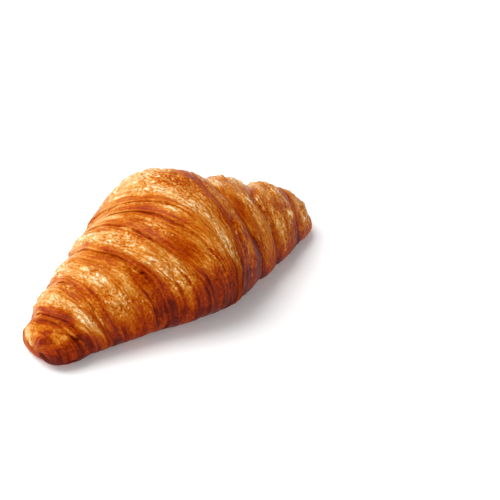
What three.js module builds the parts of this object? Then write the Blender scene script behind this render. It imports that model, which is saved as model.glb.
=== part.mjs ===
// A whole butter croissant. One triangle of layered dough is rolled up from its wide side and
// baked, so the finished thing is one solid: a stout middle, two tapering ends, a flat base, and
// the edges of the rolled dough winding round each half as low steps that face the ends.
//
// Units are millimetres and +Z is up. The croissant lies along X with its base on Z = 0, and the
// origin is the middle of the base of its bounding box.

import * as THREE from 'three';
import { mergeVertices } from 'three/addons/utils/BufferGeometryUtils.js';

// Driving dimensions.
const LENGTH = 172; // from end to end
const WIDTH = 87; // across the middle
const HEIGHT = 63; // from the base to the top of the middle
const TAPER = 0.78; // share of the girth lost for each half length from the middle
const MIDDLE_ROUNDING = 0.12; // half length of the rounded middle, as a share of the half length
const NEAR_BLUNTNESS = 24; // for the end at -X: a higher power makes a blunter end
const FAR_BLUNTNESS = 14; // for the end at +X
const FOOT_BLUNTNESS = 44; // for both ends, low down, where they stand on the tray
const BELLY = 0.42; // level of the widest line, as a share of the local height
const FOOT_POWER = 2.8; // above 2 the lower flanks turn in late, over a broad foot
const END_LIFT = 1.5; // how far the baked ends curl up from the tray
const FOOT_CUT = 1.2; // the lowest dough, pressed flat by its own weight
const NEAR_BEND = 1.5; // how far the end at -X bends towards -Y
const BEND_START = 40; // where that bend starts, from the middle
const WAIST = 2.4; // how far the side towards -Y is drawn in, where the bend starts
const WAIST_LENGTH = 24; // over how much of the length
const VALLEY_SLOPE = 5.5; // the length over which the surface sinks into a valley between two rolls
const STEP_WIDTH = 1.6; // the length over which the surface drops at a dough edge
const STEP_FILL = 6; // the length over which it swells up again towards the end
const STEP_CROWN = 5; // the length of the swelling behind a dough edge
const CROWN_SHARE = 0.4; // height of that swelling, as a share of the step

// How finely the surface is divided.
const RING_SPACING = 2.2; // along the length
const END_RINGS = 10; // on each rounded end
const SECTORS = 48; // round the girth

// The dough edges, in order along X. `valley` is how far the surface sinks between the two rolls,
// `step` is the height of the edge, and `faces` is the end that the step looks at: -1 or 1 along X.
// `course` says where the edge runs round the roll: its places along X at each of COURSE_TURNS.
const COURSE_TURNS = [-60, 0, 60, 120]; // degrees from the ridge, towards -Y
const DOUGH_EDGES = [
  { valley: 1.8, step: 1.4, faces: -1, course: [-80, -77.5, -69.5, -64] },
  { valley: 1.5, step: 1.3, faces: -1, course: [-66, -62.5, -60.5, -54] },
  { valley: 2.2, step: 1.6, faces: -1, course: [-47.5, -44, -34, -29] },
  { valley: 1.2, step: 1.5, faces: -1, course: [-39, -29.5, -18, -9.5] },
  { valley: 1, step: 1.5, faces: -1, course: [-35, -20, -5.5, 1] },
  { valley: 0.7, step: 1.4, faces: 1, course: [21, 12.5, 7, 9.5] },
  { valley: 3.4, step: 1.5, faces: 1, course: [37, 24.5, 24, 27.5] },
  { valley: 3.2, step: 1.4, faces: 1, course: [62, 49.5, 41.5, 42] },
  { valley: 2, step: 1.3, faces: 1, course: [75, 73, 65.5, 63.5] },
];

const HALF_LENGTH = LENGTH / 2;
const HALF_TURN = Math.PI;
const QUARTER_TURN = Math.PI / 2;

// Place along X of a dough edge, at a turn from the ridge: straight from mark to mark of its course.
function coursePlace(course, turn) {
  const [first] = COURSE_TURNS;
  const marks = [...COURSE_TURNS, first + 360];
  const turned = THREE.MathUtils.euclideanModulo(turn - first, 360) + first;
  const next = marks.findIndex((mark) => mark > turned);
  const before = course[next - 1];
  const after = course[next % course.length];
  return THREE.MathUtils.mapLinear(turned, marks[next - 1], marks[next], before, after);
}

// Places along X of all the dough edges and of both ends, at a turn from the ridge. The mean of a
// few turns rounds off the corners of each course.
function edgePlaces(turn) {
  const edges = DOUGH_EDGES.map(({ course }) => {
    const near = [-16, -8, 0, 8, 16].map((more) => coursePlace(course, turn + more));
    return near.reduce((sum, place) => sum + place, 0) / near.length;
  });
  return [-HALF_LENGTH, ...edges, HALF_LENGTH];
}

const RIDGE_PLACES = edgePlaces(0);

// Places along the ridge for the rings of the surface: two at every dough edge, at the top and the
// foot of its step, evenly spaced ones between, and closer ones on the rounded ends.
function ringPlaces() {
  const marks = DOUGH_EDGES.flatMap(({ faces }, edge) => {
    const top = RIDGE_PLACES[edge + 1];
    return [top, top + faces * STEP_WIDTH];
  });
  marks.sort((a, b) => a - b);
  const places = [];
  for (let ring = 0; ring < END_RINGS; ring += 1) {
    const reach = 1 - Math.cos((ring / END_RINGS) * QUARTER_TURN);
    places.push(THREE.MathUtils.lerp(-HALF_LENGTH, marks[0], reach));
  }
  for (let mark = 0; mark < marks.length - 1; mark += 1) {
    const pieces = Math.max(1, Math.round((marks[mark + 1] - marks[mark]) / RING_SPACING));
    for (let piece = 0; piece < pieces; piece += 1) {
      places.push(THREE.MathUtils.lerp(marks[mark], marks[mark + 1], piece / pieces));
    }
  }
  for (let ring = END_RINGS; ring >= 0; ring -= 1) {
    const reach = 1 - Math.cos((ring / END_RINGS) * QUARTER_TURN);
    places.push(THREE.MathUtils.lerp(HALF_LENGTH, marks[marks.length - 1], reach));
  }
  return places;
}

// Where a ring lies along X at a turn from the ridge: it follows the dough edges on both its sides.
function alongRing(place, turn) {
  const next = Math.max(1, RIDGE_PLACES.findIndex((ridge) => ridge >= place));
  const places = edgePlaces(turn);
  const [ridgeBefore, ridgeAfter] = RIDGE_PLACES.slice(next - 1, next + 1);
  return THREE.MathUtils.mapLinear(place, ridgeBefore, ridgeAfter, places[next - 1], places[next]);
}

// Share of the full girth that the taper leaves, at a distance along X.
function taperShare(x) {
  const reach = Math.abs(x) / HALF_LENGTH;
  return 1 - TAPER * (Math.hypot(reach, MIDDLE_ROUNDING) - MIDDLE_ROUNDING);
}

// Share of the tapered girth that the rounding of the ends leaves: 1 along most of the length. The
// ends are blunter low down. `rise` is 1 at the ridge and -1 under the base.
function endShare(x, rise) {
  const reach = Math.min(Math.abs(x) / HALF_LENGTH, 1);
  const upper = x < 0 ? NEAR_BLUNTNESS : FAR_BLUNTNESS;
  const low = THREE.MathUtils.smoothstep(-rise, -0.4, 0.5);
  return Math.sqrt(1 - reach ** THREE.MathUtils.lerp(upper, FOOT_BLUNTNESS, low));
}

// Height of the surface above or below the smooth body, from the valleys and steps of the dough.
function rolledRelief(place) {
  let relief = 0;
  DOUGH_EDGES.forEach(({ valley, step, faces }, edge) => {
    const beyond = (place - RIDGE_PLACES[edge + 1]) * faces;
    relief -= valley * Math.exp(-Math.abs(beyond) / VALLEY_SLOPE);
    if (beyond > 0) {
      const fallen = Math.min(beyond / STEP_WIDTH, 1);
      relief += step * (CROWN_SHARE - fallen) * Math.exp(-beyond / STEP_FILL);
    } else {
      relief += step * CROWN_SHARE * Math.exp(beyond / STEP_CROWN);
    }
  });
  return relief;
}

// Bend of the end at -X towards -Y, less the waist on that side. `spread` is -1 on the -Y side.
function sideways(x, spread) {
  const bend = NEAR_BEND * (Math.max(0, -x - BEND_START) / (HALF_LENGTH - BEND_START)) ** 2;
  const waist = WAIST * Math.exp(-(((x + BEND_START) / WAIST_LENGTH) ** 2)) * Math.max(0, -spread);
  return waist - bend;
}

// A point on the crust, from a place along the ridge and an angle round it. The angle is 0 on the
// +Y side and a quarter turn at the ridge.
function crustPoint(place, angle) {
  const rise = Math.sin(angle);
  const spread = Math.cos(angle);
  const fromRidge = THREE.MathUtils.radToDeg(Math.atan2(-spread, rise));
  const x = alongRing(place, fromRidge);
  const taper = taperShare(x);
  const rounding = endShare(x, rise);
  const relief = rolledRelief(place) * rounding;
  const halfWidth = (WIDTH / 2) * taper * rounding + relief;
  const height = (HEIGHT + FOOT_CUT) * taper;
  const belly = BELLY * height + END_LIFT * Math.abs(x / HALF_LENGTH) ** 3 - FOOT_CUT;
  if (rise >= 0) {
    const crown = (1 - BELLY) * height * rounding + relief;
    return new THREE.Vector3(x, halfWidth * spread + sideways(x, spread), belly + crown * rise);
  }
  const squareness = 2 / FOOT_POWER;
  const y = halfWidth * Math.sign(spread) * Math.abs(spread) ** squareness;
  const z = belly - BELLY * height * rounding * Math.abs(rise) ** squareness;
  return new THREE.Vector3(x, y + sideways(x, spread), Math.max(0, z));
}

// The crust is a sphere, with its poles at the two ends, drawn out to the croissant's shape.
function croissantGeometry() {
  const places = ringPlaces();
  const lastRing = places.length - 1;
  const sphere = new THREE.SphereGeometry(1, SECTORS, lastRing);
  sphere.deleteAttribute('normal');
  sphere.deleteAttribute('uv');
  sphere.rotateZ(-QUARTER_TURN);
  const geometry = mergeVertices(sphere);
  const position = geometry.attributes.position;
  const point = new THREE.Vector3();
  for (let index = 0; index < position.count; index += 1) {
    point.fromBufferAttribute(position, index);
    const fromPole = Math.acos(THREE.MathUtils.clamp(-point.x, -1, 1));
    const ring = Math.round((fromPole / HALF_TURN) * lastRing);
    const crust = crustPoint(places[ring], Math.atan2(point.z, point.y));
    position.setXYZ(index, crust.x, crust.y, crust.z);
  }
  geometry.computeBoundingBox();
  const middle = geometry.boundingBox.getCenter(new THREE.Vector3());
  geometry.translate(-middle.x, -middle.y, -geometry.boundingBox.min.z);
  geometry.computeVertexNormals();
  return geometry;
}

const crust = new THREE.MeshStandardMaterial({ color: 0xcf7d2c, roughness: 0.45, metalness: 0 });

const croissant = new THREE.Mesh(croissantGeometry(), crust);
croissant.name = 'croissant';

const part = new THREE.Group();
part.add(croissant);

export default part;
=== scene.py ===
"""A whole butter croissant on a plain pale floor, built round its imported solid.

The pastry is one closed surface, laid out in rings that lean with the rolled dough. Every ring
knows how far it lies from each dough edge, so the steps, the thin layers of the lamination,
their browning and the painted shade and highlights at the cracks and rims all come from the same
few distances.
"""

import itertools
import math
from typing import NamedTuple

import bpy
import numpy as np
from bpy.props import FloatProperty, FloatVectorProperty, IntProperty, PointerProperty
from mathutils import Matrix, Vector


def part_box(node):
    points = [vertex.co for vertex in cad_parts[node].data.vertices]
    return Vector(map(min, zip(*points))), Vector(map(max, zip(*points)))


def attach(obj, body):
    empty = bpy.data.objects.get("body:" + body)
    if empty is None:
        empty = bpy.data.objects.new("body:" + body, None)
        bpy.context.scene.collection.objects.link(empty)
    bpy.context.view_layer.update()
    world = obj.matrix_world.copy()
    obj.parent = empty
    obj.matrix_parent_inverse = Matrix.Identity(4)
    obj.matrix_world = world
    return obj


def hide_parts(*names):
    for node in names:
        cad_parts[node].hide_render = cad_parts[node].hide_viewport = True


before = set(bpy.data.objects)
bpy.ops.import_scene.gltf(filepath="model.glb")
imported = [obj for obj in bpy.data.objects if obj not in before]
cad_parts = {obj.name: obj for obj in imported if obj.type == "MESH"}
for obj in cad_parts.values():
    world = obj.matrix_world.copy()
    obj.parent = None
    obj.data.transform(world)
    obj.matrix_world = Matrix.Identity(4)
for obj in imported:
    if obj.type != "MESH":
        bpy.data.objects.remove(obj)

bl_info = {
    "name": "Butter Croissant",
    "version": (1, 0, 0),
    "blender": (4, 5, 0),
    "location": "3D View > Sidebar > Croissant",
    "description": "Bakes a rolled, layered croissant and sets it on a plain studio floor",
    "category": "Add Mesh",
}

NODE = "croissant"
PIECE = "croissant_pastry"
MM = 0.001
LOW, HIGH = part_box(NODE)
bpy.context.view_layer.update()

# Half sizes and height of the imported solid, in millimetres, and its middle, in metres.
HALF_LENGTH = (HIGH.x - LOW.x) / 2 / MM
HALF_WIDTH = (HIGH.y - LOW.y) / 2 / MM
HEIGHT = (HIGH.z - LOW.z) / MM
CENTRE = (LOW + HIGH) / 2


class Edge(NamedTuple):
    """A dough edge: where one roll ends and the next one shows."""

    valley: float  # depth of the valley beside it, in millimetres
    step: float  # height of its step
    faces: int  # the end that it faces, -1 or 1
    layers: int  # thin layers laid open at it
    course: tuple  # pairs of a turn from the ridge, in degrees towards -Y, and a place along it


class Fold(NamedTuple):
    """A fold, ridge or hollow of a single place."""

    height: float  # above the crust, or below 0 for a fold, in millimetres
    width: float  # half its width
    # In a narrow groove part of this darkening is painted shade.
    browner: float  # how much browner it is baked
    line: tuple  # the points it runs through, in millimetres


class Spot(NamedTuple):
    """A place that baked browner, or stayed paler; the browner ones low on the front partly carry
    painted shade.
    """

    place: float  # along the ridge, in millimetres
    turn: float  # from the ridge, in degrees, towards -Y
    width: float  # half its width along the ridge
    length: float  # half its length round the roll, in degrees
    browner: float  # how much browner it is baked, or below 0 where it stays paler


# The dough edges, from the end at -X to the end at +X.
EDGES = (
    Edge(1.8, 1.0, -1, 2, (
        (-90, -81), (-46, -80), (10, -77), (38, -72), (62, -69), (95, -64.5), (130, -64))),
    Edge(1.5, 0.9, -1, 3, (
        (-60, -66), (-22, -63), (26, -62), (66, -60), (90, -57.5), (115, -54))),
    Edge(2.2, 1.2, -1, 4, (
        (-53, -47), (-6, -45), (10, -42.5), (39, -37), (68, -33), (90, -31), (116, -29))),
    Edge(1.2, 1.1, -1, 3, (
        (-60, -38), (-32, -33), (-4, -30.5), (14, -26.7), (34, -25), (64, -17), (82, -12),
        (126, -9))),
    Edge(1.0, 1.1, -1, 3, (
        (-60, -36), (-34, -31), (-16, -24), (7, -18), (30, -12.7), (53, -7), (74, -2),
        (95, 0.5), (130, 1))),
    Edge(0.2, 0.8, -1, 1, (
        (-60, -30), (-21, -21.5), (-2, -15.3), (17, -9), (45, -3), (74, 1.5), (110, 4))),
    Edge(0.7, 1.0, 1, 2, (
        (-60, 21), (-30, 18.5), (-4, 13.5), (10, 11), (28, 9), (45, 9), (60, 7), (78, 6),
        (100, 8), (130, 10))),
    Edge(4.4, 1.1, 1, 3, (
        (-60, 37), (-30, 34), (-6, 26.5), (12, 21.5), (27, 22.3), (51, 23.3), (70, 24.3),
        (90, 25.5), (130, 28))),
    Edge(4.0, 1.0, 1, 3, (
        (-60, 62), (-30, 58), (-8, 52), (4, 48.3), (18, 43.2), (35, 40.8), (55, 41.8),
        (70, 41.5), (90, 41), (130, 42))),
    Edge(2.2, 0.9, 1, 2, (
        (-60, 75), (-2, 73), (24, 71), (42, 68), (56, 66), (70, 64), (90, 62), (130, 64))),
)

# At the narrow grooves of the folds the browning is partly painted shade.
FOLDS = (
    Fold(-1.2, 5.0, 0.0, ((-85, -6, 0), (-82, -12, 0))),
    Fold(-1.2, 4.0, 0.0, ((-81, 8, 17), (-77, 13, 14), (-74, 15, 13))),
    Fold(-1.0, 0.6, 0.3, (
        (-84, 2, 16), (-83, -3, 17), (-81, -8, 19), (-77, -13, 19), (-73, -18, 16))),
    Fold(0.8, 1.5, 0.2, (
        (-82, 4, 18), (-80, -2, 21), (-77, -8, 21), (-74, -13, 21), (-71, -18, 17))),
    Fold(1.6, 1.8, 0.2, ((-82, -8, 17), (-84, -7, 14), (-86, -5, 10))),
    Fold(0.4, 4.0, 0.2, ((-83, -11, 15), (-82, -14, 10), (-78, -16, 14))),
    Fold(-1.0, 0.7, 0.3, ((-86, -6, 9), (-84, -10, 7), (-81, -14, 6), (-76, -17, 5))),
    Fold(-0.9, 0.6, 0.2, ((-81, 6, 16), (-84, 3, 12), (-86, 2, 8))),
    Fold(-0.9, 0.6, 0.2, ((-83, 2, 17), (-85, 0, 13), (-86, -1, 9))),
    Fold(-0.4, 0.5, 0.2, ((-76, -15, 19), (-73, -18, 15), (-71, -19, 9))),
    Fold(-0.4, 0.5, 0.2, ((-73, -17, 19), (-70, -20, 14), (-68, -21, 8))),
    Fold(1.2, 7.0, 0.0, ((62, 6, 28), (75, 6, 21))),
    Fold(-0.6, 0.7, 0.3, ((84, 5, 15), (86, 1, 13), (86, -3, 9), (84, -7, 7))),
    Fold(0.5, 2.0, 0.0, ((82, -6, 17), (85, -4, 13), (86, -1, 8))),
    Fold(-0.7, 0.6, 0.2, ((79, 12, 14), (83, 8, 10), (85, 4, 6))),
)

# Spots low on the front, such as at place 18 and turn 75, are partly painted shade.
SPOTS = (
    Spot(-77, 25, 2.2, 45, 0.10),
    Spot(-66, 62, 2.0, 25, 0.10),
    Spot(-46, 25, 2.2, 35, 0.09),
    Spot(-45, 75, 4.5, 25, 0.06),
    Spot(-31, 20, 2.0, 20, 0.09),
    Spot(-26, 47, 2.0, 13, 0.10),
    Spot(-25, 72, 3.0, 20, 0.06),
    Spot(-18, -10, 1.5, 25, 0.06),
    Spot(-3, -40, 6.0, 18, 0.09),
    Spot(2, -2, 6.0, 12, 0.12),
    Spot(10, 0, 6.0, 10, 0.09),
    Spot(6, 38, 4.5, 30, 0.09),
    Spot(15, 12, 2.5, 18, 0.12),
    Spot(15, 45, 4.0, 18, 0.12),
    Spot(18, 75, 9.0, 20, 0.13),
    Spot(-2, 88, 14.0, 12, 0.09),
    Spot(30, 40, 5.0, 14, 0.06),
    Spot(40, 15, 4.0, 12, 0.06),
    Spot(50, 25, 9.0, 28, 0.05),
    Spot(60, 35, 5.0, 12, 0.10),
    Spot(68, 58, 9.0, 25, 0.07),
    Spot(72, 15, 3.0, 25, 0.12),
    Spot(82, 40, 4.0, 60, 0.05),
    Spot(-84, 100, 5.0, 35, 0.14),
    Spot(-82, -20, 4.0, 60, 0.07),
    Spot(-71, 50, 2.4, 65, -0.14),
    Spot(-75, 62, 3.0, 25, -0.16),
    Spot(-79, 75, 5.0, 35, -0.10),
    Spot(-56, 15, 4.5, 18, -0.12),
    Spot(-52, 60, 4.0, 20, -0.05),
    Spot(-38, 0, 5.0, 35, -0.06),
    Spot(-24, 12, 2.5, 14, -0.12),
    Spot(-24, -30, 6.0, 24, -0.10),
    Spot(-12, 30, 7.0, 40, -0.06),
    Spot(-5, 60, 8.0, 20, -0.05),
    Spot(28, -5, 4.0, 12, -0.14),
    Spot(50, 10, 5.0, 30, -0.07),
    Spot(53, -6, 4.0, 10, -0.09),
)

# The smooth body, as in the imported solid. Lengths are in millimetres.
TAPER = 0.78  # share of the girth that is gone at the ends
MIDDLE_ROUNDING = 0.12  # share of the half length over which the middle is rounded
NEAR_BLUNTNESS = 24  # how squarely the end at -X closes
FAR_BLUNTNESS = 14  # and the end at +X
FOOT_BLUNTNESS = 44  # and both ends low down
BELLY = 0.42  # height of the widest line, as a share of the height
FOOT_POWER = 2.8  # how square the section is below the widest line; 2 is round
END_LIFT = 1.5  # how far the widest line rises at the ends
FOOT_CUT = 1.2  # how much the flat foot cuts off
NEAR_BEND = 1.5  # how far the end at -X bends towards -Y
BEND_START = 40  # from the middle
FRONT_WAIST = 2.4  # how far the side towards -Y is drawn in, where the bend starts
WAIST_LENGTH = 24

# How much darker a full measure of each thing makes the crust: browning, and painted light and
# shade.
EVEN_BAKE = 0.36  # everywhere
# Low on the sides the crust is darker, partly from browning and partly as painted shade.
LOW_BROWNING_AND_SHADE = 0.40  # low on the sides
STRIP_BAKE = 0.28  # the satin strips before the dough edges
# Darker in the cracks under the overhanging lips: painted shade.
CRACK_SHADE = 0.19
LINE_BAKE = 0.11  # the fine lines of the lamination
# The rims of the dough edges are paler as a painted highlight.
CREST_HIGHLIGHT = -0.14  # the rims of the dough edges
# Puff tops paler and the creases between them darker: painted highlight and painted shade.
PUFF_HIGHLIGHT_AND_SHADE = -0.16
FLAKE_BAKE = -0.12
# The shoulder towards +Y is paler as painted light from the lamps behind on the left.
BACK_PAINTED_LIGHT = -0.18  # the shoulder towards +Y

# Kinds of lips: how much of the way round they show, the width of the satin strip and the length
# of the slopes beside them, in millimetres.
MAIN_LIP = 1.15, 3.2, 4.0
LAYER_LIP = 0.45, 1.6, 1.6
BEHIND_LIP = 0.2, 1.4, 1.6
FAINT_LIP = -0.25, 0.9, 1.3

# Relief of the crust, in millimetres.
VALLEY_SLOPES = 5.5, 5.0  # before and beyond a dough edge
SWELL_HEIGHT = 0.7  # the broad swells of the whole crust
RIPPLE_HEIGHT = 0.5
COARSE_LINE_HEIGHT = 0.26
FINE_LINE_HEIGHT = 0.12
STRIP_LINE_HEIGHT = 0.08  # more of the fine lines on the satin strips
MEAN_DEPTH = 0.3  # how far the crust lies under the smooth body, in the mean
WIDE_WANDER, FINE_WANDER = 0.7, 0.5  # how far the dough edges stray along the ridge
STRAY = 0.5  # and how far each lip strays from its edge
NEAR_END_HEIGHT = 1.0  # how much fuller the end at -X is
OVERHANG = 0.24  # of a lip, as a share of its height

# The grid of the crust, and the edge left free round its map.
RINGS = 448
SECTORS = 216
MAP_MARGIN = 0.004

# The paper floor, in metres: how far it lies flat, how wide it curls up beyond, and how far it
# lies under the pastry. It glows a little, and more from GLOW_START to GLOW_END.
PAPER_FLAT = 2.0
PAPER_CURL = 0.8
PAPER_GAP = 0.0001
PAPER_BENDS = 12
PAPER_SIDES = 96
NEAR_GLOW = 0.13
FAR_GLOW = 0.72
GLOW_START, GLOW_END = 0.3, 1.2

# The lights, in metres: how far off they hang, how wide they are and the way to each.
LIGHT_DISTANCE = 1.2
KEY_SIZE, KEY_WAY = 1.0, (-0.45, 0.55, 1.9)
RIM_SIZE, RIM_WAY = 0.8, (-0.6, 0.85, 0.55)
FILL_SIZE, FILL_WAY = 1.0, (-1.0, -0.35, 0.7)

SENSOR_WIDTH = 36  # of the camera, in millimetres


# ---------------------------------------------------------------- fields over the dough

def noise(points, seed):
    """Smooth noise of about -1 to 1 at each point, with features one unit across."""
    rng = np.random.default_rng(seed)
    table = rng.permutation(256)
    slopes = rng.normal(size=(256, 3))
    slopes /= np.linalg.norm(slopes, axis=1, keepdims=True)
    cell = np.floor(points).astype(int)
    local = points - cell
    fade = local**3 * (local * (local * 6 - 15) + 10)
    total = np.zeros(points.shape[:-1])
    for corner in itertools.product((0, 1), repeat=3):
        key = table[(cell[..., 0] + corner[0]) & 255]
        key = table[(key + cell[..., 1] + corner[1]) & 255]
        key = table[(key + cell[..., 2] + corner[2]) & 255]
        weight = np.prod(np.where(corner, fade, 1 - fade), axis=-1)
        total += weight * np.sum(slopes[key] * (local - np.array(corner)), axis=-1)
    return total * 1.7


def smooth(low, high, value):
    """An S curve from 0 at low to 1 at high. It falls where low is the larger of the two."""
    share = np.clip((value - low) / (high - low), 0, 1)
    return share * share * (3 - 2 * share)


def bump(value, width):
    """A bell of height 1 round zero."""
    return np.exp(-((value / width) ** 2))


def edge_places(turn):
    """Where both ends and every dough edge are along the length, at each turn (radians)."""
    turn = np.atleast_1d(np.degrees(turn))
    places = [np.full_like(turn, -HALF_LENGTH)]
    for edge in EDGES:
        turns, along = zip(*edge.course)
        near = [np.interp(turn + more, turns, along, period=360) for more in (-14, -7, 0, 7, 14)]
        places.append(np.mean(near, axis=0))
    places.append(np.full_like(turn, HALF_LENGTH))
    return np.stack(places, axis=-1)


def ring_places():
    """Places of the rings along the ridge: crowded at the lips of the dough and at both ends."""
    fine = np.linspace(-HALF_LENGTH, HALF_LENGTH, 8001)
    crowd = np.ones_like(fine)
    for place in edge_places(0)[0, 1:-1]:
        crowd += 1.6 * bump(fine - place, 1.8)
    crowd += 3.0 * bump(HALF_LENGTH - np.abs(fine), 2.0)
    reach = np.concatenate([[0], np.cumsum((crowd[1:] + crowd[:-1]) / 2)])
    return np.interp(np.linspace(0, reach[-1], RINGS + 2), reach, fine)


def line_distance(points, line):
    """How far each point is from a line through a few points."""
    nearest = np.full(points.shape[:-1], np.inf)
    for start, end in itertools.pairwise(np.array(line, dtype=float)):
        way = end - start
        share = np.clip((points - start) @ way / (way @ way), 0, 1)
        away = np.linalg.norm(points - start - share[..., None] * way, axis=-1)
        nearest = np.minimum(nearest, away)
    return nearest


def ring_courses(places, turns):
    """How far along the length each ring lies at each turn: it follows the edges beside it."""
    nominal = edge_places(0)[0]
    return np.stack([np.interp(places, nominal, along) for along in edge_places(turns)], axis=1)


def body_point(x, turn):
    """The smooth body under the steps. turn is the angle from the ridge, positive towards -Y."""
    reach = np.clip(np.abs(x) / HALF_LENGTH, 0, 1)
    taper = 1 - TAPER * (np.hypot(reach, MIDDLE_ROUNDING) - MIDDLE_ROUNDING)
    rise = np.cos(turn)
    upper = np.where(x < 0, NEAR_BLUNTNESS, FAR_BLUNTNESS)
    bluntness = upper + (FOOT_BLUNTNESS - upper) * smooth(0.4, -0.5, rise)
    rounding = np.sqrt(np.maximum(1 - reach**bluntness, 0))
    spread = -np.sin(turn)
    height = (HEIGHT + FOOT_CUT) * taper
    belly = BELLY * height + END_LIFT * reach**3 - FOOT_CUT
    square = 2 / FOOT_POWER
    half_width = HALF_WIDTH * taper * rounding
    low_spread = np.sign(spread) * np.abs(spread) ** square
    low_rise = np.abs(rise) ** square
    y = half_width * np.where(rise >= 0, spread, low_spread)
    up = (1 - BELLY) * height * rounding * rise
    down = -BELLY * height * rounding * low_rise
    z = belly + np.where(rise >= 0, up, down)
    bend = NEAR_BEND * (np.clip(-x - BEND_START, 0, None) / (HALF_LENGTH - BEND_START)) ** 2
    waist = FRONT_WAIST * bump(x + BEND_START, WAIST_LENGTH) * np.clip(-spread, 0, 1)
    return np.stack([x, y - bend + waist, z], axis=-1)


def body_normal(x, turn):
    """Outward direction of the smooth body, measured across a small patch."""
    step = 0.01
    along = np.arccos(np.clip(-x / HALF_LENGTH, -1, 1))
    before = -HALF_LENGTH * np.cos(np.clip(along - step, 0, math.pi))
    after = -HALF_LENGTH * np.cos(np.clip(along + step, 0, math.pi))
    length_way = body_point(after, turn) - body_point(before, turn)
    round_way = body_point(x, turn + step) - body_point(x, turn - step)
    normal = np.cross(round_way, length_way)
    size = np.linalg.norm(normal, axis=-1, keepdims=True)
    pole = np.stack([np.sign(x), np.zeros_like(x), np.zeros_like(x)], axis=-1)
    return np.where(size > 1e-6, normal / np.maximum(size, 1e-9), pole)


class Lip(NamedTuple):
    """One lip of the dough: where it runs, which end it faces and how it stands out."""

    place: float
    height: float
    faces: int
    presence: float  # about 1 if it shows all the way round, below 0 if it seldom shows
    strip: float
    reach: float
    slant: float = 0  # how far it strays along the ridge in a quarter turn


def dough_lips(settings):
    """Every lip of the dough: the main edges, the layers laid open at them and the faint ones."""
    rng = np.random.default_rng(settings.seed)
    layer_width = settings.layer_width / MM
    lips = []
    for place, edge in zip(edge_places(0)[0, 1:], EDGES):
        faces = edge.faces
        lips.append(Lip(place, edge.step, faces, *MAIN_LIP))
        for layer in range(edge.layers):
            beyond = (layer + 1) * layer_width * rng.uniform(0.8, 1.2)
            height = edge.step * rng.uniform(0.4, 0.7)
            lips.append(Lip(place + faces * beyond, height, faces, *LAYER_LIP))
        for layer in range(2):
            behind = (layer + 1) * 1.4 * layer_width * rng.uniform(0.8, 1.2)
            height = edge.step * rng.uniform(0.35, 0.6)
            lips.append(Lip(place - faces * behind, height, faces, *BEHIND_LIP))
    for faces in (-1, 1):
        for place in np.arange(4, HALF_LENGTH - 10, settings.faint_width / MM):
            near = faces * (place + rng.uniform(-1, 1))
            height = rng.uniform(0.35, 0.7)
            slant = rng.uniform(-3, 1) * faces
            lips.append(Lip(near, height, faces, *FAINT_LIP, slant))
    return lips


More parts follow.
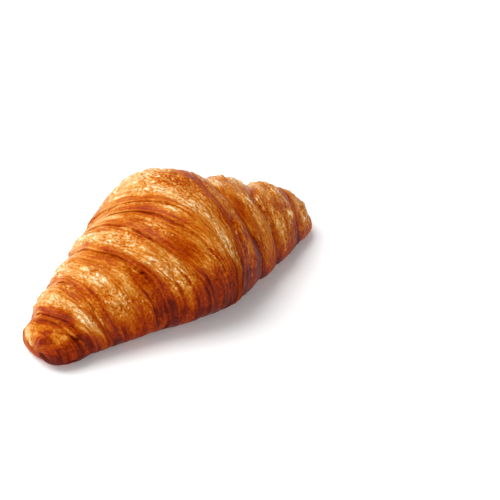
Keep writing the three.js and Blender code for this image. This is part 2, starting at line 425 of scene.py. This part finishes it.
class Dough:
    """Everything that is known at each point of the crust grid, in millimetres."""

    def __init__(self, settings):
        self.settings = settings
        self.seed = settings.seed
        places = ring_places()
        # The sectors are wider under the foot, where nothing shows.
        share = np.linspace(-1, 1, SECTORS + 1)[:-1]
        self.turns = np.interp(share, [-1, -0.88, 0.88, 1], [-math.pi, -2.3, 2.3, math.pi])
        self.place, self.turn = np.meshgrid(places, self.turns, indexing="ij")
        self.along = ring_courses(places, self.turns)
        reach = np.abs(self.place) / HALF_LENGTH
        radius = 36 * (1 - 0.7 * reach)
        self.wrap = np.stack([
            self.place, radius * np.sin(self.turn), radius * np.cos(self.turn)], axis=-1)
        self.inward = smooth(0, 6, HALF_LENGTH - np.abs(self.place))
        self.swing = self.turn / (math.pi / 2) * (1 - np.abs(self.turn / math.pi) ** 4)
        self.low = smooth(0.9, 2.0, np.abs(self.turn))
        self.tip = smooth(-77, -82, self.place)
        self.relief = np.zeros_like(self.place)
        self.tuck = np.zeros_like(self.place)
        self.crest = np.zeros_like(self.place)
        self.crack = np.zeros_like(self.place)
        self.strip = np.zeros_like(self.place)

    def field(self, across, along, seed):
        """Noise whose features are `across` wide along the ridge and `along` long round it."""
        return noise(self.wrap / np.array([across, along, along]), self.seed + seed)

    def round_field(self, length, seed):
        """Noise that varies only round the roll, with features of that length."""
        circle = np.stack([np.cos(self.turns), np.sin(self.turns), np.full(SECTORS, 0.37)], axis=-1)
        return noise(circle * (30 / length) + seed * 3.1, self.seed + seed)[None, :]

    def shape(self):
        """Sets the points of the crust, and the masks of what shows there."""
        self.add_valleys()
        for number, lip in enumerate(dough_lips(self.settings)):
            self.add_lip(lip, 100 + number)
        self.strip *= np.clip(1.0 + 0.8 * self.field(2.5, 12, 5), 0, 1)
        self.add_laminations()
        self.add_puffs()
        self.add_flakes()
        self.brown()
        self.relief += SWELL_HEIGHT * self.field(26, 26, 3)
        self.relief -= self.wide_mean(self.relief) + MEAN_DEPTH
        self.relief *= 1 - 0.6 * self.low
        wander = WIDE_WANDER * self.field(8, 28, 1) + FINE_WANDER * self.field(3.5, 9, 2)
        x = self.along + (wander + self.tuck) * self.inward
        x = np.clip(x, -HALF_LENGTH, HALF_LENGTH)
        base = body_point(x, self.turn)
        self.add_folds(base)
        point = base + body_normal(x, self.turn) * self.relief[..., None]
        point[..., 2] = np.maximum(point[..., 2], 0)
        self.point = point

    def wide_mean(self, values):
        """The mean of the values over a wide patch round each point."""
        places = self.place[:, 0]
        turns = self.turns
        length_way = bump(places[:, None] - places, 18)
        round_way = bump(np.sin((turns[:, None] - turns) / 2), 0.45)
        spacing = np.gradient(places)[:, None] * np.gradient(turns)
        total = length_way @ (values * spacing) @ round_way
        return total / (length_way @ spacing @ round_way)

    def add_folds(self, base):
        """Folds and ridges where the dough is tucked in at the two ends."""
        self.relief *= smooth(0, np.where(self.place > 0, 6, 1.5), HALF_LENGTH - np.abs(self.place))
        self.relief += NEAR_END_HEIGHT * smooth(-78, -81, self.place)
        ragged = 0.4 * self.field(2, 3, 50)
        for fold in FOLDS:
            near = bump(line_distance(base, fold.line) * (1 + ragged), fold.width)
            self.relief += fold.height * near
            # Along the narrow grooves this darkening is partly painted shade.
            self.bake += fold.browner * near
            self.strip = np.maximum(self.strip, min(3 * fold.browner, 0.9) * near)

    def add_valleys(self):
        """Sinks the dough between the rolls, so that each band stands up like a pillow."""
        places = edge_places(0)[0, 1:]
        back = smooth(-0.2, -0.9, self.turn)
        for number, (place, edge) in enumerate(zip(places, EDGES)):
            beyond = (self.place - place) * edge.faces
            slope = np.where(beyond < 0, *VALLEY_SLOPES)
            depth = edge.valley * (1 + 0.4 * self.round_field(20, 60 + number))
            if edge.faces < 0:
                depth = depth * (1 + 0.9 * back)
            self.relief -= depth * np.exp(-np.abs(beyond) / slope)

    def add_lip(self, lip, seed):
        """Adds one lip: its rounded rim, its overhang, its step and the crack before it."""
        shift = lip.slant * self.swing + STRAY * self.round_field(14, seed)
        strength = np.clip(lip.presence + 0.9 * self.round_field(16, seed + 500), 0, 1.2)
        beyond = (self.place - lip.place - shift) * lip.faces
        height = lip.height * strength
        before = 0.5 * np.exp(np.minimum(beyond, 0) / lip.reach)
        fallen = smooth(-0.1, 0.7, beyond)
        after = (0.5 - fallen) * np.exp(-np.maximum(beyond, 0) / lip.reach)
        self.relief += height * np.where(beyond < 0, before, after)
        overhang = min(lip.height, 1.0) * OVERHANG * strength
        over = bump(beyond - 0.1, 0.3)
        under = bump(beyond - 0.7, 0.3)
        self.tuck += lip.faces * overhang * (over - 0.7 * under)
        shown = np.minimum(strength, 1)
        self.crest = np.maximum(self.crest, shown * bump(beyond + 0.15, 0.3))
        # The crack mask darkens the crust under the overhang as painted shade.
        depth = min(1, 0.4 + 0.6 * lip.height)
        self.crack = np.maximum(self.crack, depth * shown * bump(beyond - 0.75, 0.75))
        before = smooth(-1.4 * lip.strip, -0.5 * lip.strip, beyond) * (1 - smooth(0, 0.5, beyond))
        self.strip = np.maximum(self.strip, shown * before)

    def add_laminations(self):
        """Fine lines of the lamination, strongest on the strips beside the dough edges."""
        fine = self.field(0.9, 24, 10)
        coarse = self.field(1.9, 16, 11)
        self.lines = 0.6 * fine + 0.6 * coarse
        self.relief += (FINE_LINE_HEIGHT + STRIP_LINE_HEIGHT * self.strip) * fine
        self.relief += COARSE_LINE_HEIGHT * coarse + RIPPLE_HEIGHT * self.field(4, 9, 12)

    def add_puffs(self):
        """Crumpled skin of the bands: rounded puffs with sharp creases between them."""
        smooth_skin = np.clip(1 - 0.85 * self.strip - 0.3 * self.low - 0.7 * self.tip, 0, 1)
        small = 2.2 * np.abs(self.field(1.5, 3.6, 20)) - 0.6
        large = 2.2 * np.abs(self.field(3.4, 8.0, 21)) - 0.6
        patchy = smooth(-0.5, 0.3, self.field(9, 14, 22))
        self.skin = smooth_skin * (0.15 + 0.85 * patchy)
        loose = smooth_skin * (0.4 + 0.6 * patchy)
        self.puff = (0.6 * small + 0.5 * large) * loose
        wrinkle_height = self.settings.wrinkle_height / MM
        puff_height = self.settings.puff_height / MM
        self.relief += (wrinkle_height * small + puff_height * large) * loose

    def add_flakes(self):
        """Loose flakes of the top skin: thin islands with sharp rims."""
        flake = smooth(0.16, 0.3, self.field(1.8, 4.5, 30))
        patchy = smooth(0.0, 0.4, self.field(11, 16, 32))
        self.flake = flake * patchy * (1 - 0.8 * self.strip) * (1 - self.low) * (1 - self.tip)
        self.relief += self.settings.flake_height / MM * self.flake

    def brown(self):
        """How far each place is baked, from about 0 for pale dough to 1 for the darkest, with
        painted highlights and painted shade added in.
        """
        bake = EVEN_BAKE + 0.09 * self.field(17, 26, 40) + 0.10 * self.field(3, 7, 41)
        # Low on the sides: partly browning, partly painted shade.
        bake += LINE_BAKE * self.lines + LOW_BROWNING_AND_SHADE * self.low
        # The cracks get painted shade and the rims a painted highlight.
        bake += STRIP_BAKE * self.strip + CRACK_SHADE * self.crack + CREST_HIGHLIGHT * self.crest
        # Paler puff tops and darker creases: painted highlight and painted shade.
        bake += PUFF_HIGHLIGHT_AND_SHADE * self.puff + FLAKE_BAKE * self.flake
        # Paler on the shoulder towards +Y as painted light.
        back = smooth(0.15, -0.6, self.turn) * (1 - smooth(-1.0, -1.4, self.turn))
        bake += BACK_PAINTED_LIGHT * back
        turn = np.degrees(self.turn)
        ragged = 0.35 * self.field(2.2, 5, 42)
        for spot in SPOTS:
            across = (self.place - spot.place) / spot.width
            around = (turn - spot.turn) / spot.length
            bake += spot.browner * (1 - smooth(0.6, 1.5, np.hypot(across, around) + ragged))
        self.bake = bake


def crust_mesh(dough):
    """The closed mesh of the crust, with its map and its attributes."""
    grid = dough.point[1:-1]
    count = grid.shape[0] * SECTORS
    near = dough.point[0].mean(axis=0)
    far = dough.point[-1].mean(axis=0)
    points = np.concatenate([grid.reshape(-1, 3), [near], [far]]) * MM
    index = np.arange(count).reshape(-1, SECTORS)
    beside = np.roll(index, -1, axis=1)
    quads = np.stack([index[:-1], beside[:-1], beside[1:], index[1:]], axis=-1).reshape(-1, 4)
    first = np.stack([np.full(SECTORS, count), beside[0], index[0]], axis=-1)
    last = np.stack([np.full(SECTORS, count + 1), index[-1], beside[-1]], axis=-1)
    mesh = bpy.data.meshes.new(PIECE)
    mesh.from_pydata(points.tolist(), [], quads.tolist() + first.tolist() + last.tolist())
    add_map(mesh, grid.shape[0])
    for name in ("bake", "strip", "skin"):
        add_values(mesh, name, getattr(dough, name))
    add_vectors(mesh, "wrap", dough.wrap)
    mesh.shade_smooth()
    return mesh


def flatten(values):
    """Values of the grid in the mesh's order of points: rings, then the two ends."""
    inner = values[1:-1].reshape((-1,) + values.shape[2:])
    ends = np.stack([values[0].mean(axis=0), values[-1].mean(axis=0)])
    return np.concatenate([inner, ends])


def add_values(mesh, name, values):
    """Gives the mesh a number at each point."""
    attribute = mesh.attributes.new(name, "FLOAT", "POINT")
    attribute.data.foreach_set("value", flatten(values).astype(np.float32).ravel())


def add_vectors(mesh, name, values):
    """Gives the mesh a vector at each point."""
    attribute = mesh.attributes.new(name, "FLOAT_VECTOR", "POINT")
    attribute.data.foreach_set("vector", flatten(values).astype(np.float32).ravel())


def add_map(mesh, rings):
    """Lays the grid out flat: the length across, the girth up."""
    inside = 1 - 2 * MAP_MARGIN
    u = MAP_MARGIN + inside * (np.arange(rings) + 1) / (rings + 1)
    v = MAP_MARGIN + inside * np.arange(SECTORS + 1) / SECTORS
    a, b = np.meshgrid(np.arange(rings - 1), np.arange(SECTORS), indexing="ij")
    quads = np.stack([
        np.stack([u[a], v[b]], -1), np.stack([u[a], v[b + 1]], -1),
        np.stack([u[a + 1], v[b + 1]], -1), np.stack([u[a + 1], v[b]], -1)], axis=-2)
    middle = (v[:-1] + v[1:]) / 2
    start = np.stack([
        np.stack([np.full(SECTORS, MAP_MARGIN), middle], -1),
        np.stack([np.full(SECTORS, u[0]), v[1:]], -1),
        np.stack([np.full(SECTORS, u[0]), v[:-1]], -1)], axis=-2)
    finish = np.stack([
        np.stack([np.full(SECTORS, 1 - MAP_MARGIN), middle], -1),
        np.stack([np.full(SECTORS, u[-1]), v[:-1]], -1),
        np.stack([np.full(SECTORS, u[-1]), v[1:]], -1)], axis=-2)
    coordinates = np.concatenate([part.reshape(-1, 2) for part in (quads, start, finish)])
    layer = mesh.uv_layers.new(name="OFBake")
    layer.uv.foreach_set("vector", coordinates.astype(np.float32).ravel())


# ---------------------------------------------------------------- material

class Nodes:
    """Short ways to add and link shader nodes."""

    def __init__(self, material):
        material.use_nodes = True
        self.tree = material.node_tree
        self.tree.nodes.clear()

    def add(self, kind, inputs=(), **settings):
        """A node, with its settings and with a value or a link for each of its inputs."""
        node = self.tree.nodes.new(kind)
        for name, value in settings.items():
            setattr(node, name, value)
        for socket, value in dict(inputs).items():
            if isinstance(value, bpy.types.NodeSocket):
                self.tree.links.new(value, node.inputs[socket])
            else:
                node.inputs[socket].default_value = value
        return node

    def total(self, start, parts):
        """A sum of values, each times its own weight, added to a start."""
        result = start
        for value, weight in parts:
            inputs = {0: value, 1: weight, 2: result}
            result = self.add("ShaderNodeMath", inputs, operation="MULTIPLY_ADD").outputs[0]
        return result

    def product(self, a, b):
        """One value times another."""
        return self.add("ShaderNodeMath", {0: a, 1: b}, operation="MULTIPLY").outputs[0]

    def between(self, value, low, high):
        """0 at low, 1 at high, with soft ends."""
        inputs = {"Value": value, "From Min": low, "From Max": high}
        return self.add("ShaderNodeMapRange", inputs, interpolation_type="SMOOTHSTEP").outputs[0]

    def value(self, name):
        """A number that the mesh carries at each point."""
        return self.add("ShaderNodeAttribute", attribute_name=name).outputs["Fac"]

    def texture(self, points, across, along, detail, roughness=0.5):
        """Noise whose features are `across` wide along the ridge and `along` long round it."""
        inputs = {0: points, 1: (1 / across, 1 / along, 1 / along)}
        stretched = self.add("ShaderNodeVectorMath", inputs, operation="MULTIPLY").outputs[0]
        inputs = {"Vector": stretched, "Scale": 1.0, "Detail": detail, "Roughness": roughness}
        return self.add("ShaderNodeTexNoise", inputs).outputs["Fac"]

    def ramp(self, value, stops):
        """A colour for each value, blended between the stops."""
        node = self.add("ShaderNodeValToRGB", {"Fac": value})
        ramp = node.color_ramp
        while len(ramp.elements) < len(stops):
            ramp.elements.new(0.5)
        for element, (position, colour) in zip(ramp.elements, stops):
            element.position = position
            element.color = (*colour, 1)
        return node.outputs["Color"]


def linear(red, green, blue):
    """A screen colour of 0 to 255 as the linear colour that shaders use."""
    return tuple(((c / 255 + 0.055) / 1.055) ** 2.4 if c > 10 else c / 255 / 12.92
                 for c in (red, green, blue))


def crust_material(colours):
    """Baked crust: browning on the lips, paler dough in the bands, fine streaks and speckle, with
    painted glints on the skin and painted shade in thin seams.
    """
    material = bpy.data.materials.new("baked_crust")
    n = Nodes(material)
    wrap = n.add("ShaderNodeAttribute", attribute_name="wrap").outputs["Vector"]
    strip = n.value("strip")
    line = n.texture(wrap, 0.45, 12.0, 3.0, 0.6)
    blotch = n.texture(wrap, 7.0, 11.0, 3.0)
    speck = n.texture(wrap, 0.7, 1.2, 4.0, 0.7)
    # Thin dark seams, sunk a little in the bump: painted shade in the cracks between the layers.
    shaded_seam = n.between(n.texture(wrap, 0.55, 15.0, 2.0), 0.57, 0.68)
    # Painted glints: small pale flecks on the skin that stand for highlights.
    painted_glint = n.between(n.texture(wrap, 0.9, 2.2, 3.0, 0.6), 0.56, 0.66)
    skin = n.value("skin")
    loose = n.product(painted_glint, skin)
    dusty = n.product(n.total(-0.5, ((speck, 1.0),)), n.total(0.5, ((skin, 0.9),)))
    bake = n.total(-0.30, (
        (n.value("bake"), 1.0), (line, 0.36), (blotch, 0.3), (dusty, 1.2), (shaded_seam, 0.14),
        (loose, -0.30)))
    stops = (
        (0.0, colours.cream), (0.2, colours.straw), (0.4, colours.gold),
        (0.6, colours.amber), (0.8, colours.brown), (1.0, colours.char))
    colour = n.ramp(bake, stops)
    rough = n.total(0.36, ((speck, 0.24), (strip, -0.14)))
    glaze = n.total(0.0, ((n.between(bake, 0.5, 0.1), 0.16), (strip, 0.1)))
    grain = n.total(0.0, ((line, 0.35), (speck, 0.6), (loose, 0.25), (shaded_seam, -0.2)))
    normal = n.add("ShaderNodeBump", {"Strength": 0.5, "Distance": 0.0007, "Height": grain})
    shader = n.add("ShaderNodeBsdfPrincipled", {
        "Base Color": colour, "Roughness": rough, "Normal": normal.outputs[0],
        "Coat Weight": glaze, "Coat Roughness": 0.2, "Specular IOR Level": 0.06,
        "Specular Tint": (1.0, 0.5, 0.18, 1.0)})
    n.add("ShaderNodeOutputMaterial", {"Surface": shader.outputs[0]})
    return material


def paper_material():
    """White paper that glows as painted light: a little near the pastry, lifting its shadow, and
    more away from it, where no shadow falls.
    """
    material = bpy.data.materials.new("pale_paper")
    n = Nodes(material)
    place = n.add("ShaderNodeNewGeometry").outputs["Position"]
    away = n.add("ShaderNodeVectorMath", {0: place}, operation="LENGTH").outputs["Value"]
    glow = n.total(NEAR_GLOW, ((n.between(away, GLOW_START, GLOW_END), FAR_GLOW),))
    shader = n.add("ShaderNodeBsdfPrincipled", {
        "Base Color": (0.9, 0.9, 0.9, 1), "Roughness": 0.8, "Specular IOR Level": 0.2,
        "Emission Color": (1, 1, 1, 1), "Emission Strength": glow})
    n.add("ShaderNodeOutputMaterial", {"Surface": shader.outputs[0]})
    return material


# ---------------------------------------------------------------- settings

def colour_property(name, description, screen):
    """A colour setting, given as a screen colour of 0 to 255."""
    return FloatVectorProperty(
        name=name, description=description, subtype="COLOR", size=3, min=0, max=1,
        default=linear(*screen))


def length_property(name, description, millimetres):
    """A length setting. It is kept in metres, like all of Blender's."""
    return FloatProperty(
        name=name, description=description, subtype="DISTANCE", unit="LENGTH", min=0, precision=5,
        default=millimetres * MM)


class CrustSettings(bpy.types.PropertyGroup):
    """Sizes and colours of the pastry."""

    seed: IntProperty(
        name="Seed", description="Which of many alike croissants is baked", default=3)
    layer_width: length_property(
        "Layer width", "Width that shows of each thin layer at a dough edge", 1.7)
    faint_width: length_property(
        "Faint layer width", "From one faint layer of the bands to the next", 3.4)
    wrinkle_height: length_property("Wrinkle height", "Height of the small wrinkles", 0.45)
    puff_height: length_property("Puff height", "Height of the rounded puffs", 0.7)
    flake_height: length_property("Flake height", "Height of the loose flakes", 0.35)
    # The rims come out paler, towards cream, through their painted highlight.
    cream: colour_property(
        "Cream", "Palest dough, where the rolls have pulled apart", (240, 224, 194))
    # The puff tops come out straw partly through their painted highlight.
    straw: colour_property("Straw", "Pale dough on the tops of the puffs", (216, 163, 94))
    gold: colour_property("Gold", "Lightly baked dough", (192, 114, 28))
    amber: colour_property("Amber", "Evenly baked dough", (166, 70, 2))
    brown: colour_property("Brown", "Well baked lips and strips", (136, 37, 0))
    # The cracks reach char through their painted shade.
    char: colour_property("Char", "Darkest baking, in the cracks", (82, 14, 0))


class StudioSettings(bpy.types.PropertyGroup):
    """Camera and light of the studio."""

    azimuth: FloatProperty(
        name="Azimuth", description="Which way the camera looks, from +Y round to -X",
        default=math.radians(-42.15), subtype="ANGLE", unit="ROTATION")
    elevation: FloatProperty(
        name="Elevation", description="How far above the floor the camera looks down from",
        default=math.radians(35.18), subtype="ANGLE", unit="ROTATION")
    distance: FloatProperty(
        name="Distance", description="From the camera to the point it looks at",
        default=0.7, subtype="DISTANCE", unit="LENGTH")
    aim: FloatVectorProperty(
        name="Aim", description="The point on the floor that the camera looks at",
        default=(0.0489, -0.0011, 0.0), subtype="TRANSLATION", unit="LENGTH")
    lens: FloatProperty(
        name="Focal length", description="Focal length in millimetres", default=96.4,
        unit="CAMERA")
    key_power: FloatProperty(
        name="Key light", description="Power of the large soft light behind, on the left",
        default=16.4, unit="POWER")
    rim_power: FloatProperty(
        name="Rim light", description="Power of the low light behind, on the left",
        default=4.5, unit="POWER")
    fill_power: FloatProperty(
        name="Fill light", description="Power of the large weak light in front", default=3.4,
        unit="POWER")
    ambient: FloatProperty(
        name="Ambient", description="Strength of the even light from all round", default=0.2)


# ---------------------------------------------------------------- operators

class CROISSANT_OT_bake(bpy.types.Operator):
    """Bake the pastry: shape the rolled dough and brown its crust"""

    bl_idname = "croissant.bake"
    bl_label = "Bake the croissant"

    def execute(self, context):
        settings = context.scene.croissant_crust
        dough = Dough(settings)
        dough.shape()
        pastry = bpy.data.objects.new(PIECE, crust_mesh(dough))
        pastry.data.materials.append(crust_material(settings))
        context.scene.collection.objects.link(pastry)
        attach(pastry, "root")
        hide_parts(NODE)
        return {"FINISHED"}


def add_area_light(name, power, size, way, aim):
    """A square soft light that hangs some way off the point it shines at."""
    data = bpy.data.lights.new(name, "AREA")
    data.energy = power
    data.size = size
    lamp = bpy.data.objects.new(name, data)
    away = Vector(way).normalized()
    lamp.location = aim + away * LIGHT_DISTANCE
    lamp.rotation_euler = away.to_track_quat("Z", "Y").to_euler()
    bpy.context.scene.collection.objects.link(lamp)


class CROISSANT_OT_set_studio(bpy.types.Operator):
    """Set the floor, the lights and the camera"""

    bl_idname = "croissant.set_studio"
    bl_label = "Set the studio"

    def execute(self, context):
        studio = context.scene.croissant_studio
        self.lay_floor(context)
        self.hang_lights(context, studio)
        self.place_camera(context, studio)
        return {"FINISHED"}

    def lay_floor(self, context):
        """A round sheet of pale paper, flat under the pastry and curling up far away."""
        bend = np.linspace(0, math.pi / 2, PAPER_BENDS)
        reach = np.concatenate([[PAPER_FLAT / 4], PAPER_FLAT + PAPER_CURL * np.sin(bend)])
        level = np.concatenate([[0], PAPER_CURL * (1 - np.cos(bend))]) + LOW.z - PAPER_GAP
        around = np.linspace(0, math.tau, PAPER_SIDES + 1)[:-1]
        points = np.stack([
            np.outer(reach, np.cos(around)), np.outer(reach, np.sin(around)),
            np.repeat(level, PAPER_SIDES).reshape(-1, PAPER_SIDES)], axis=-1).reshape(-1, 3)
        index = np.arange(len(points)).reshape(-1, PAPER_SIDES)
        beside = np.roll(index, -1, axis=1)
        quads = np.stack([index[:-1], index[1:], beside[1:], beside[:-1]], axis=-1).reshape(-1, 4)
        mesh = bpy.data.meshes.new("floor")
        mesh.from_pydata(points.tolist(), [], [index[0].tolist()] + quads.tolist())
        mesh.shade_smooth()
        floor = bpy.data.objects.new("floor", mesh)
        mesh.materials.append(paper_material())
        context.scene.collection.objects.link(floor)

    def hang_lights(self, context, studio):
        """Three soft lights, and an even light from all round."""
        world = bpy.data.worlds.new("studio")
        context.scene.world = world
        world.use_nodes = True
        background = world.node_tree.nodes["Background"]
        background.inputs["Color"].default_value = (1, 1, 1, 1)
        background.inputs["Strength"].default_value = studio.ambient
        aim = Vector((CENTRE.x, CENTRE.y, LOW.z))
        add_area_light("key_light", studio.key_power, KEY_SIZE, KEY_WAY, aim)
        add_area_light("rim_light", studio.rim_power, RIM_SIZE, RIM_WAY, aim)
        add_area_light("fill_light", studio.fill_power, FILL_SIZE, FILL_WAY, aim)

    def place_camera(self, context, studio):
        """The camera, its azimuth and elevation taken from the point it looks at."""
        data = bpy.data.cameras.new("camera")
        data.lens = studio.lens
        data.sensor_width = SENSOR_WIDTH
        camera = bpy.data.objects.new("camera", data)
        flat = math.cos(studio.elevation)
        away = Vector((
            math.sin(studio.azimuth) * flat, -math.cos(studio.azimuth) * flat,
            math.sin(studio.elevation)))
        camera.location = Vector(studio.aim) + away * studio.distance
        camera.rotation_euler = away.to_track_quat("Z", "Y").to_euler()
        context.scene.collection.objects.link(camera)
        context.scene.camera = camera
        context.scene.view_settings.view_transform = "Standard"


class CROISSANT_PT_panel(bpy.types.Panel):
    """The croissant's tab in the sidebar"""

    bl_label = "Croissant"
    bl_idname = "CROISSANT_PT_panel"
    bl_space_type = "VIEW_3D"
    bl_region_type = "UI"
    bl_category = "Croissant"

    def draw(self, context):
        layout = self.layout
        scene = context.scene
        for group, operator in (
                (scene.croissant_crust, CROISSANT_OT_bake),
                (scene.croissant_studio, CROISSANT_OT_set_studio)):
            for name in group.__annotations__:
                layout.prop(group, name)
            layout.operator(operator.bl_idname)


CLASSES = (
    CrustSettings,
    StudioSettings,
    CROISSANT_OT_bake,
    CROISSANT_OT_set_studio,
    CROISSANT_PT_panel,
)


def register():
    for cls in CLASSES:
        bpy.utils.register_class(cls)
    bpy.types.Scene.croissant_crust = PointerProperty(type=CrustSettings)
    bpy.types.Scene.croissant_studio = PointerProperty(type=StudioSettings)


def unregister():
    del bpy.types.Scene.croissant_studio
    del bpy.types.Scene.croissant_crust
    for cls in reversed(CLASSES):
        bpy.utils.unregister_class(cls)


def main():
    register()
    bpy.ops.croissant.set_studio()
    bpy.ops.croissant.bake()


if __name__ == "__main__":
    main()
